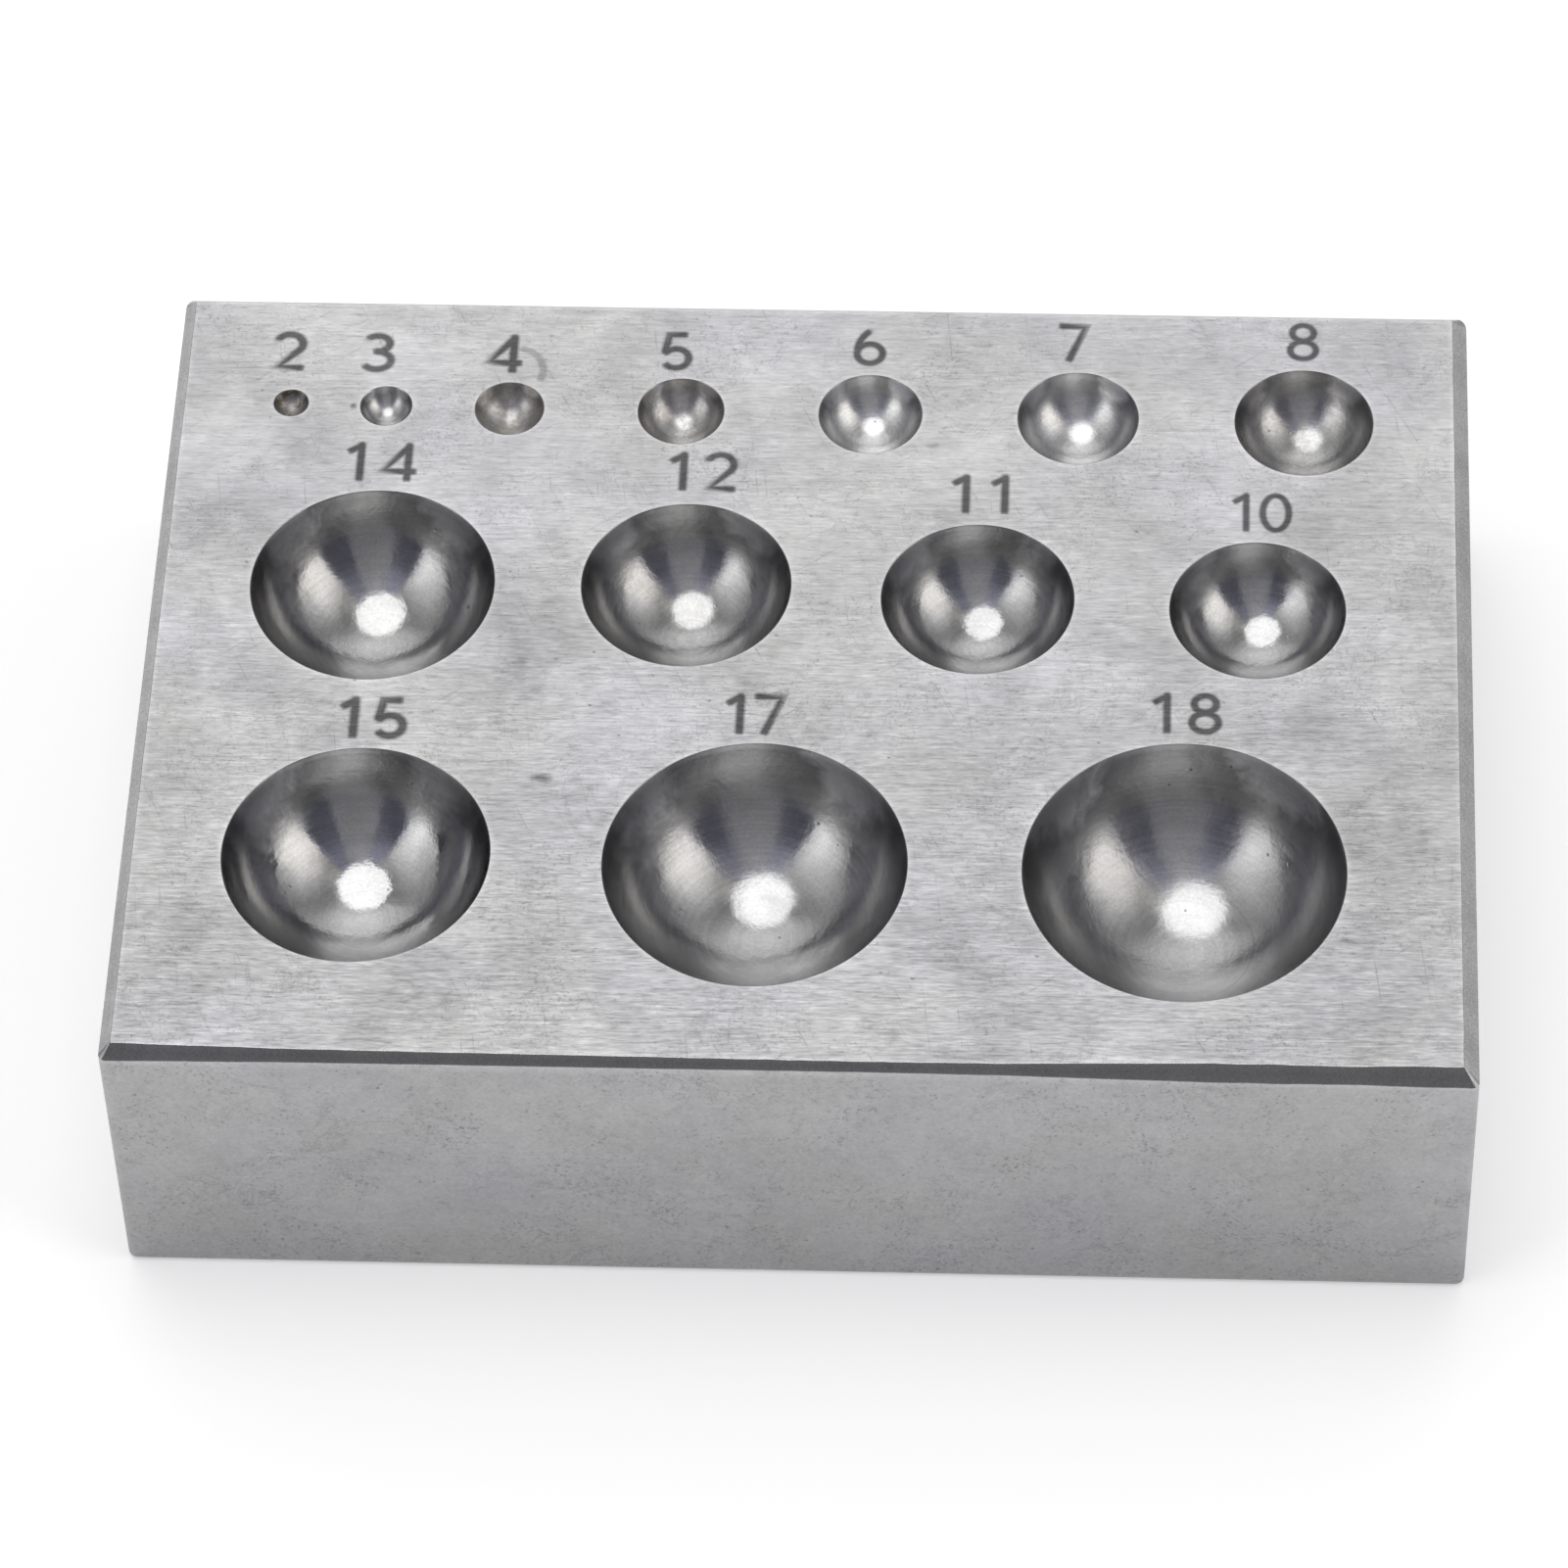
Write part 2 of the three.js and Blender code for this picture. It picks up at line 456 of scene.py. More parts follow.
def add_loop(parts, loop, wear):
    """Adds a loop of points, all with the same wear and painted highlight, and gives back their numbers."""
    return [parts.point(x, y, z, wear=wear) for x, y, z in loop]


def build_body(parts):
    """The filed flats, the four sides and the underside. Gives back the top face's outer loop."""
    lean = EDGE_BREAK * math.sqrt(0.5)

    def ring(inset, drop, radius, wear):
        return add_loop(parts, around_block(inset, drop, radius), wear)

    edge_corner, head_corner, middle_corner, foot_corner = FLAT_CORNER_RADII
    top_edge = ring(lambda s, t: top_flat(s, t) + EDGE_BREAK, lambda s, t: 0, edge_corner, 1)
    flat_head = ring(lambda s, t: top_flat(s, t) - lean, lambda s, t: lean, head_corner, 0.6)
    flat_middle = ring(lambda s, t: top_flat(s, t) / 2, lambda s, t: top_flat(s, t) / 2, middle_corner, 0)
    flat_foot = ring(lambda s, t: lean, lambda s, t: top_flat(s, t) - lean, foot_corner, 0.4)
    side_head = ring(lambda s, t: 0, lambda s, t: top_flat(s, t) + EDGE_BREAK, CORNER_RADIUS, 1)
    parts.band(top_edge, flat_head, FILED)
    parts.band(flat_head, flat_middle, FILED)
    parts.band(flat_middle, flat_foot, FILED)
    parts.band(flat_foot, side_head, FILED)

    above = side_head
    for depth in SIDE_RINGS:
        below = ring(lambda s, t: 0, lambda s, t, d=depth: d * MM, CORNER_RADIUS, 0)
        parts.band(above, below, SIDE)
        above = below
    height = TOP - LOW.z
    for i in range(BOTTOM_STEPS + 1):
        angle = math.pi / 2 * i / BOTTOM_STEPS
        into = BOTTOM_RADIUS * (1 - math.cos(angle))
        down = height - BOTTOM_RADIUS * (1 - math.sin(angle))
        radius = max(CORNER_RADIUS - into * CORNER_TIGHTENING, TIGHTEST_CORNER)
        worn_and_sheened = 0.5 if 0 < i < BOTTOM_STEPS else 0
        below = ring(lambda s, t, a=into: a, lambda s, t, d=down: d, radius, worn_and_sheened)
        parts.band(above, below, SIDE, smooth=True)
        above = below
    underside = [parts.points[i][:2] for i in above]
    fill = flat_fill(underside, [], [])
    corner = {}
    for tri in fill["triangles"]:
        corners = []
        for v in reversed(tri):
            if v in fill["from_outline"]:
                corners.append(above[fill["from_outline"][v]])
            else:
                if v not in corner:
                    x, y = fill["points"][v]
                    corner[v] = parts.point(x, y, LOW.z)
                corners.append(corner[v])
        parts.face(tuple(corners), UNDERSIDE)
    return top_edge


def flat_fill(outline, rings, outlines):
    """Triangles that fill a flat outline and keep every edge of the rings and outlines laid in it."""
    points = [Vector(p) for p in outline]
    edges = [(i, (i + 1) % len(outline)) for i in range(len(outline))]
    for shape in list(rings) + list(outlines):
        start = len(points)
        points += [Vector(p) for p in shape]
        edges += [(start + i, start + (i + 1) % len(shape)) for i in range(len(shape))]
    out_points, _, triangles, origins = geometry.delaunay_2d_cdt(points, edges, [], 0, 1e-8)[:4]
    from_input = {}
    for out, ins in enumerate(origins):
        for source in ins:
            from_input[source] = out
    from_outline = {from_input[i]: i for i in range(len(outline))}
    kept = []
    for tri in triangles:
        cx = sum(out_points[v].x for v in tri) / 3
        cy = sum(out_points[v].y for v in tri) / 3
        if inside(cx, cy, outline):
            kept.append(tuple(tri))
    return {"points": out_points, "triangles": kept, "from_input": from_input, "from_outline": from_outline}


def rim_steps(diameter):
    """How many points a pocket's rim has: a multiple of 4 that grows with its diameter in mm."""
    return 4 * int(round(14 + diameter * 0.8))


def ring_points(x, y, radius, count):
    """Points of a level circle, the first one at the right."""
    return [(x + radius * math.cos(2 * math.pi * i / count), y + radius * math.sin(2 * math.pi * i / count))
            for i in range(count)]


def build_top(parts, top_edge):
    """The ground top face with its rims and numerals. Gives back each pocket's rim as a loop of vertices."""
    outline = [parts.points[i][:2] for i in top_edge]
    rims = []
    bands = []
    for diameter, x, y, radius in POCKETS:
        count = rim_steps(diameter)
        rims.append(ring_points(x, y, radius + RIM_BREAK, count))
        bands.append(ring_points(x, y, radius + RIM_BREAK + WEAR_AND_SHEEN_BAND, count))
    inner = [(x * (1 - WEAR_AND_SHEEN_BAND / (WIDTH / 2)), y * (1 - WEAR_AND_SHEEN_BAND / (DEPTH / 2))) for x, y in outline[::2]]
    lines = numeral_lines()
    marks = []
    for points, _, boldness in lines:
        for half in (MARK_CORE * boldness, (MARK_CORE + MARK_REACH) / 2 * boldness, MARK_REACH * boldness):
            marks.append(inked(led_on(points, half), 2 * half))
    fill = flat_fill(outline, rims + bands + [inner], marks)
    points = fill["points"]

    def in_pocket(cx, cy):
        return any(math.hypot(cx - x, cy - y) < radius + RIM_BREAK * 0.9 for _, x, y, radius in POCKETS)

    worn_and_sheened = set()
    start = len(outline)
    rim_ids = []
    for rim in rims:
        ids = [fill["from_input"][start + i] for i in range(len(rim))]
        worn_and_sheened.update(ids)
        rim_ids.append(ids)
        start += len(rim)

    placed = {}

    def near(line, x, y):
        start_x, start_y = line[0][0]
        return math.hypot(start_x - x, start_y - y) < 2 * NUMERAL_HEIGHT

    def top_point(v):
        if v in fill["from_outline"]:
            return top_edge[fill["from_outline"][v]]
        if v not in placed:
            x, y = points[v]
            mark = mark_at(x, y, [line for line in lines if near(line, x, y)])
            placed[v] = parts.point(x, y, TOP - MARK_SUNK * mark, wear=1.0 if v in worn_and_sheened else 0.0, mark=mark)
        return placed[v]

    for tri in fill["triangles"]:
        cx = sum(points[v].x for v in tri) / 3
        cy = sum(points[v].y for v in tri) / 3
        if not in_pocket(cx, cy):
            parts.face(tuple(top_point(v) for v in tri), GROUND)
    return [[top_point(v) for v in ids] for ids in rim_ids]


def pocket_ball(radius):
    """Depth of a pocket of the given radius, and the radius of the ball that its surface is part of."""
    depth = radius * POCKET_DEPTH_SHARE
    return depth, (radius * radius + depth * depth) / (2 * depth)


def build_pocket(parts, place, rim, seed):
    """One round pocket from its broken rim down to its lowest point."""
    diameter, x, y, radius = place
    count = len(rim)
    depth, ball = pocket_ball(radius)
    steepest = math.asin(radius / ball)
    kept = {
        "pocket_seed": seed,
        "residue": RESIDUE.get(diameter, 0),
        "dullness": DULLNESS.get(diameter, USUAL_DULLNESS),
        "paleness": PALENESS.get(diameter, 1),
    }

    def ring(away, z, slope, wear):
        values = dict(kept, wear=wear, turning_mm=ball / MM * slope, steepness=slope / steepest)
        return [parts.point(px, py, z, **values) for px, py in ring_points(x, y, away, count)]

    above = rim
    break_steps = 3
    for i in range(1, break_steps + 1):
        angle = steepest * i / break_steps
        away = radius + RIM_BREAK * (1 - math.sin(angle))
        down = RIM_BREAK * (1 - math.cos(angle))
        below = ring(away, TOP - down, steepest, 1 if i < break_steps else 0.6)
        parts.band(below, above, POLISHED, smooth=True)
        above = below
    steps = max(8, count // 4)
    for i in range(1, steps):
        slope = steepest * (1 - i / steps)
        z = TOP - depth + ball * (1 - math.cos(slope))
        below = ring(ball * math.sin(slope), z, slope, 0.25 if i == 1 else 0)
        parts.band(below, above, POLISHED, smooth=True)
        above = below
    lowest = parts.point(x, y, TOP - depth, **kept)
    for i in range(count):
        parts.face((lowest, above[i], above[(i + 1) % count]), POLISHED, True)


# The flat layout for baking: its size and margin in pixels, and pixels for each mm of each face
LAYOUT_SIZE = 1024.0
LAYOUT_MARGIN = 8.0
TOP_SCALE = 11.0
SIDE_SCALE = 7.0
UNDERSIDE_SCALE = 3.2


def atlas_place(point, normal, finish, pocket):
    """Where a corner lies in the flat layout for baking, from 0 to 1 each way."""
    size, edge = LAYOUT_SIZE, LAYOUT_MARGIN
    x, y, z = (point[0] - LOW.x) / MM, (point[1] - LOW.y) / MM, (point[2] - LOW.z) / MM
    width, depth, height = WIDTH / MM, DEPTH / MM, (TOP - LOW.z) / MM
    top_height = edge + depth * TOP_SCALE
    if pocket is not None or finish == GROUND:
        if pocket is not None:
            _, cx, cy, radius = pocket
            away = math.hypot(point[0] - cx, point[1] - cy)
            depth, ball = pocket_ball(radius)
            slope = math.acos(max(-1, min(1, 1 - (point[2] - TOP + depth) / ball)))
            spread_out = radius * slope / math.asin(radius / ball)
            if away > 1e-9:
                x = (cx + (point[0] - cx) / away * min(spread_out, radius) - LOW.x) / MM
                y = (cy + (point[1] - cy) / away * min(spread_out, radius) - LOW.y) / MM
        return (edge + x * TOP_SCALE) / size, (edge + y * TOP_SCALE) / size
    if finish == UNDERSIDE:
        u = 2 * edge + width * TOP_SCALE + y * UNDERSIDE_SCALE
        return u / size, (edge + x * UNDERSIDE_SCALE) / size
    row = top_height + edge
    if abs(normal[1]) >= abs(normal[0]):
        if normal[1] < 0:
            return (edge + x * SIDE_SCALE) / size, (row + edge + z * SIDE_SCALE) / size
        return (edge + x * SIDE_SCALE) / size, (row + 3 * edge + (height + z) * SIDE_SCALE) / size
    u = 3 * edge + width * SIDE_SCALE + y * SIDE_SCALE
    if normal[0] < 0:
        return u / size, (row + edge + z * SIDE_SCALE) / size
    return u / size, (row + 3 * edge + (height + z) * SIDE_SCALE) / size


def lay_out_atlas(mesh):
    """A flat layout of the whole block, so that a baked picture gives the top face most of its room."""
    layer = mesh.uv_layers.new(name="OFBake")
    for poly in mesh.polygons:
        centre = poly.center
        pocket = None
        if poly.material_index == POLISHED:
            pocket = min(POCKETS, key=lambda p: math.hypot(centre.x - p[1], centre.y - p[2]) - p[3])
        for corner in poly.loop_indices:
            point = mesh.vertices[mesh.loops[corner].vertex_index].co
            layer.data[corner].uv = atlas_place(point, poly.normal, poly.material_index, pocket)


def store_values(mesh, name, values):
    """Stores one value for each vertex, for the materials to read."""
    attribute = mesh.attributes.new(name, "FLOAT", "POINT")
    attribute.data.foreach_set("value", np.array(values, np.float32))


def build_block():
    """The whole block as one mesh object."""
    parts = MeshParts()
    top_edge = build_body(parts)
    rims = build_top(parts, top_edge)
    for i, (place, rim) in enumerate(zip(POCKETS, rims)):
        build_pocket(parts, place, rim, 3.7 * i + 1)
    mesh = bpy.data.meshes.new("block_steel")
    mesh.from_pydata(parts.points, [], parts.faces)
    mesh.polygons.foreach_set("material_index", np.array(parts.finish, np.int32))
    mesh.polygons.foreach_set("use_smooth", np.array(parts.smooth, bool))
    for name, values in parts.values.items():
        store_values(mesh, name, values)
    mesh.update()
    mesh.validate()
    lay_out_atlas(mesh)
    block = bpy.data.objects.new("dapping_block", mesh)
    bpy.context.scene.collection.objects.link(block)
    return block


# Materials

def new_group(name, inputs, outputs):
    """An empty shader node group with named sockets, as (group, its input node, its output node)."""
    group = bpy.data.node_groups.new(name, "ShaderNodeTree")
    for socket, kind, default in inputs:
        made = group.interface.new_socket(socket, in_out="INPUT", socket_type=kind)
        if default is not None:
            made.default_value = default
    for socket, kind in outputs:
        group.interface.new_socket(socket, in_out="OUTPUT", socket_type=kind)
    entry = group.nodes.new("NodeGroupInput")
    leave = group.nodes.new("NodeGroupOutput")
    return group, entry, leave


class Wiring:
    """Short ways to add and join nodes in one tree."""

    def __init__(self, tree):
        self.tree = tree

    def node(self, kind, **settings):
        made = self.tree.nodes.new(kind)
        for name, value in settings.items():
            setattr(made, name, value)
        return made

    def join(self, source, target):
        self.tree.links.new(source, target)

    def feed(self, socket, value):
        """Sets a socket to a number or colour, or joins it to another socket."""
        if isinstance(value, bpy.types.NodeSocket):
            self.join(value, socket)
        else:
            socket.default_value = value

    def math(self, operation, a, b=0.0):
        made = self.node("ShaderNodeMath", operation=operation)
        self.feed(made.inputs[0], a)
        self.feed(made.inputs[1], b)
        return made.outputs[0]

    def product(self, first, *others):
        """Several values multiplied, in their order."""
        for other in others:
            first = self.math("MULTIPLY", first, other)
        return first

    def total(self, first, *others):
        """Several values added, in their order."""
        for other in others:
            first = self.math("ADD", first, other)
        return first

    def vector(self, operation, a, b):
        made = self.node("ShaderNodeVectorMath", operation=operation)
        self.feed(made.inputs[0], a)
        self.feed(made.inputs[1], b)
        return made.outputs[0]

    def turned(self, vector, degrees, stretch):
        """A vector turned about Z and then stretched, for marks that run one way."""
        turn = self.node("ShaderNodeMapping", vector_type="TEXTURE")
        self.feed(turn.inputs["Vector"], vector)
        turn.inputs["Rotation"].default_value = (0, 0, math.radians(degrees))
        return self.vector("MULTIPLY", turn.outputs[0], stretch)

    def noise(self, vector, scale, detail=2.0, roughness=0.5, distortion=0.0):
        made = self.node("ShaderNodeTexNoise")
        self.feed(made.inputs["Vector"], vector)
        self.feed(made.inputs["Scale"], scale)
        made.inputs["Detail"].default_value = detail
        made.inputs["Roughness"].default_value = roughness
        made.inputs["Distortion"].default_value = distortion
        return made.outputs[0]

    def ramp(self, value, low, high, to_low=0.0, to_high=1.0):
        """Maps a value from low..high to to_low..to_high, held at both ends."""
        made = self.node("ShaderNodeMapRange", clamp=True)
        self.feed(made.inputs["Value"], value)
        self.feed(made.inputs["From Min"], low)
        self.feed(made.inputs["From Max"], high)
        self.feed(made.inputs["To Min"], to_low)
        self.feed(made.inputs["To Max"], to_high)
        return made.outputs[0]

    def varied(self, noise, low, high):
        """A noise, which keeps mostly between 0.3 and 0.7, mapped to low..high."""
        return self.ramp(noise, 0.3, 0.7, low, high)

    def where(self, mask, value):
        """1 outside a mask and the given value inside it."""
        return self.ramp(mask, 0.0, 1.0, 1.0, value)

    def parts_of(self, vector):
        """A vector's X, Y and Z, as a node with these outputs."""
        made = self.node("ShaderNodeSeparateXYZ")
        self.join(vector, made.inputs[0])
        return made

    def mix(self, share, a, b, blend="MIX"):
        made = self.node("ShaderNodeMix", data_type="RGBA", blend_type=blend)
        self.feed(made.inputs["Factor"], share)
        self.feed(made.inputs[6], a)
        self.feed(made.inputs[7], b)
        return made.outputs[2]

    def grey(self, tone):
        """A grey colour of the given level."""
        made = self.node("ShaderNodeCombineColor")
        for channel in range(3):
            self.join(tone, made.inputs[channel])
        return made.outputs[0]

    def bump(self, height):
        """The surface's direction under a fine relief, its height given in metres."""
        made = self.node("ShaderNodeBump")
        self.feed(made.inputs["Height"], height)
        made.inputs["Distance"].default_value = 1.0
        made.inputs["Strength"].default_value = 1.0
        return made.outputs[0]

    def group(self, group, **values):
        made = self.node("ShaderNodeGroup")
        made.node_tree = group
        for name, value in values.items():
            self.feed(made.inputs[name.replace("_", " ")], value)
        return made

    def place_mm(self):
        """The surface point in millimetres."""
        where = self.node("ShaderNodeTexCoord")
        return self.vector("MULTIPLY", where.outputs["Object"], (1000, 1000, 1000))


def grinding_group():
    """Fine streaks that a grinding wheel leaves along one direction."""
    group, entry, leave = new_group(
        "grinding_streaks",
        (("Place", "NodeSocketVector", None), ("Fineness", "NodeSocketFloat", 1.0)),
        (("Streaks", "NodeSocketFloat"), ("Broad", "NodeSocketFloat")),
    )
    w = Wiring(group)
    place = entry.outputs["Place"]
    fineness = entry.outputs["Fineness"]
    fine = w.noise(w.vector("MULTIPLY", place, (0.5, 4.4, 4.4)), fineness, 2, 0.7)
    hair = w.noise(w.vector("MULTIPLY", place, (1.3, 8.0, 8.0)), fineness, 1, 0.5)
    long = w.noise(w.vector("MULTIPLY", place, (0.12, 2.4, 2.4)), fineness, 3, 0.65)
    streaks = w.total(w.product(fine, 0.42), w.product(hair, 0.33))
    streaks = w.total(streaks, w.product(long, 0.25))
    w.join(streaks, leave.inputs["Streaks"])
    w.join(long, leave.inputs["Broad"])
    return group


def stain_group():
    """Cloudy patches where handling and cleaning have dulled the steel."""
    group, entry, leave = new_group(
        "cloudy_stain",
        (("Place", "NodeSocketVector", None), ("Size mm", "NodeSocketFloat", 8.0)),
        (("Cloud", "NodeSocketFloat"), ("Tint", "NodeSocketFloat")),
    )
    w = Wiring(group)
    scale = w.math("DIVIDE", 1.0, entry.outputs["Size mm"])
    cloud = w.noise(entry.outputs["Place"], scale, 5, 0.62, 0.4)
    shifted = w.vector("ADD", entry.outputs["Place"], (31.0, -17.0, 9.0))
    tint = w.noise(shifted, w.product(scale, 0.55), 2, 0.5, 0.3)
    w.join(cloud, leave.inputs["Cloud"])
    w.join(tint, leave.inputs["Tint"])
    return group


def pit_group():
    """Small scattered pits, as a mask that is 1 inside a pit."""
    group, entry, leave = new_group(
        "small_pits",
        (("Place", "NodeSocketVector", None), ("Spacing mm", "NodeSocketFloat", 2.0),
         ("Pit mm", "NodeSocketFloat", 0.1)),
        (("Pits", "NodeSocketFloat"),),
    )
    w = Wiring(group)
    cells = w.node("ShaderNodeTexVoronoi", feature="F1")
    w.feed(cells.inputs["Vector"], entry.outputs["Place"])
    w.feed(cells.inputs["Scale"], w.math("DIVIDE", 1.0, entry.outputs["Spacing mm"]))
    away = w.product(cells.outputs["Distance"], entry.outputs["Spacing mm"])
    red = w.node("ShaderNodeSeparateColor")
    w.join(cells.outputs["Color"], red.inputs[0])
    chosen = w.ramp(red.outputs[0], 0.55, 1.0)
    size = w.product(entry.outputs["Pit mm"], chosen)
    pits = w.ramp(away, w.product(size, 0.4), w.total(size, 0.0001), 1.0, 0.0)
    w.join(w.product(pits, w.ramp(chosen, 0.0, 0.05)), leave.inputs["Pits"])
    return group


def scratch_group():
    """Sparse, thin scratches that run one way and fade in and out, as a mask."""
    group, entry, leave = new_group(
        "hairline_scratches",
        (("Place", "NodeSocketVector", None), ("Rarity", "NodeSocketFloat", 0.7)),
        (("Scratches", "NodeSocketFloat"),),
    )
    w = Wiring(group)
    line = w.noise(w.vector("MULTIPLY", entry.outputs["Place"], (0.1, 5.0, 1.0)), 1.0, 1, 0.5, 0.15)
    edge = w.total(entry.outputs["Rarity"], 0.04)
    broken = w.noise(entry.outputs["Place"], 0.6, 2, 0.6)
    w.join(w.product(w.ramp(line, entry.outputs["Rarity"], edge), w.ramp(broken, 0.4, 0.62)),
           leave.inputs["Scratches"])
    return group


def tide_group():
    """Thin crinkled edges left by drops that dried on the steel, here and there, as a mask."""
    group, entry, leave = new_group(
        "tide_lines",
        (("Place", "NodeSocketVector", None), ("Size mm", "NodeSocketFloat", 4.0),
         ("Width", "NodeSocketFloat", 0.01)),
        (("Lines", "NodeSocketFloat"),),
    )
    w = Wiring(group)
    scale = w.math("DIVIDE", 1.0, entry.outputs["Size mm"])
    drops = w.noise(entry.outputs["Place"], scale, 6, 0.68, 0.5)
    away = w.math("ABSOLUTE", w.math("SUBTRACT", drops, 0.5))
    lines = w.ramp(away, 0.0, entry.outputs["Width"], 1.0, 0.0)
    shifted = w.vector("ADD", entry.outputs["Place"], (-13.0, 57.0, 5.0))
    where = w.noise(shifted, w.product(scale, 0.8), 2, 0.5)
    w.join(w.product(lines, w.ramp(where, 0.46, 0.58)), leave.inputs["Lines"])
    return group


def speck_group():
    """Fine dark specks that lie in loose clusters, as a mask."""
    group, entry, leave = new_group(
        "clustered_specks",
        (("Place", "NodeSocketVector", None), ("Grain mm", "NodeSocketFloat", 0.2),
         ("Cluster mm", "NodeSocketFloat", 3.0)),
        (("Specks", "NodeSocketFloat"),),
    )
    w = Wiring(group)
    grain = w.noise(entry.outputs["Place"], w.math("DIVIDE", 1.0, entry.outputs["Grain mm"]), 2, 0.6, 0.5)
    shifted = w.vector("ADD", entry.outputs["Place"], (7.0, -41.0, 23.0))
    cluster = w.noise(shifted, w.math("DIVIDE", 1.0, entry.outputs["Cluster mm"]), 4, 0.65)
    edge = w.ramp(cluster, 0.38, 0.66, 0.68, 0.53)
    w.join(w.ramp(grain, edge, w.total(edge, 0.1)), leave.inputs["Specks"])
    return group


def patch_group():
    """One dull patch round a place on the steel, with a cloudy edge, as a mask."""
    group, entry, leave = new_group(
        "dull_patch",
        (("Place", "NodeSocketVector", None), ("Middle", "NodeSocketVector", None),
         ("Reach mm", "NodeSocketFloat", 2.0), ("Breadth", "NodeSocketFloat", 1.0)),
        (("Patch", "NodeSocketFloat"),),
    )
    w = Wiring(group)
    ragged = w.noise(entry.outputs["Place"], 0.5, 4, 0.65)
    off = w.vector("SUBTRACT", entry.outputs["Place"], entry.outputs["Middle"])
    parts = w.parts_of(off)
    across = w.math("DIVIDE", parts.outputs["X"], entry.outputs["Breadth"])
    squares = w.total(w.math("POWER", across, 2.0), w.math("POWER", parts.outputs["Y"], 2.0))
    away = w.math("SQRT", squares)
    away = w.math("DIVIDE", away, entry.outputs["Reach mm"])
    away = w.total(away, w.product(w.math("SUBTRACT", ragged, 0.5), 2.4))
    w.join(w.ramp(away, 0.35, 1.15, 1.0, 0.0), leave.inputs["Patch"])
    return group


GRINDING = grinding_group()
STAIN = stain_group()
PITS = pit_group()
SCRATCHES = scratch_group()
TIDE = tide_group()
SPECKS = speck_group()
PATCH = patch_group()

# The dull patches and dark nicks on the top face: middle to the right of and behind the block's centre and
# reach in mm, breadth as a share of the reach, and how strongly each one darkens the steel
DULL_PATCHES = (
    (-34, -19, 2.6, 0.8, 0.09), (-18.5, -21.5, 2.4, 1.3, 0.07), (-16, -2.5, 4.5, 0.4, 0.08),
    (-31, 0.5, 1.8, 1.6, 0.04), (28, -4, 2.6, 1.1, 0.09), (20, 1.5, 2.8, 1.2, 0.06),
    (29, 11, 4.0, 0.7, 0.05), (8.5, -19, 3.2, 0.6, 0.04), (-15, 4, 5.5, 0.6, 0.07),
    (31.5, -18, 2.4, 0.7, 0.08), (34.2, -10.5, 3.4, 0.4, 0.08),
    (-27.2, 19.3, 0.3, 1.0, 0.4), (-14.7, -8.1, 0.4, 2.4, 0.35), (6.7, 16.9, 0.4, 1.2, 0.25),
)

# Heights and depths of the fine relief in each finish
GRAIN_HEIGHT = 0.012 * MM
TOP_PIT_DEPTH = 0.02 * MM
SCRATCH_DEPTH = 0.004 * MM
FILE_MARK_HEIGHT = 0.008 * MM
SIDE_GRAIN_HEIGHT = 0.006 * MM
SIDE_PIT_DEPTH = 0.012 * MM
UNDERSIDE_GRAIN_HEIGHT = 0.006 * MM
TURNING_HEIGHT = 0.0018 * MM
POLISH_WAVE_HEIGHT = 0.034 * MM
POLISH_GRAIN_HEIGHT = 0.0032 * MM
POCKET_PIT_DEPTH = 0.01 * MM


def new_material(name):
    """A material with its Principled BSDF, as (material, wiring, shader)."""
    material = bpy.data.materials.new(name)
    material.use_nodes = True
    return material, Wiring(material.node_tree), material.node_tree.nodes["Principled BSDF"]


def new_steel(name, roughness):
    """A steel material. The roughness is a plain one for viewers that read no nodes."""
    material, w, shader = new_material(name)
    shader.inputs["Metallic"].default_value = 1.0
    shader.inputs["Roughness"].default_value = roughness
    return material, w, shader


def value_of(w, name):
    """A value that is stored on the mesh."""
    return w.node("ShaderNodeAttribute", attribute_name=name).outputs["Fac"]


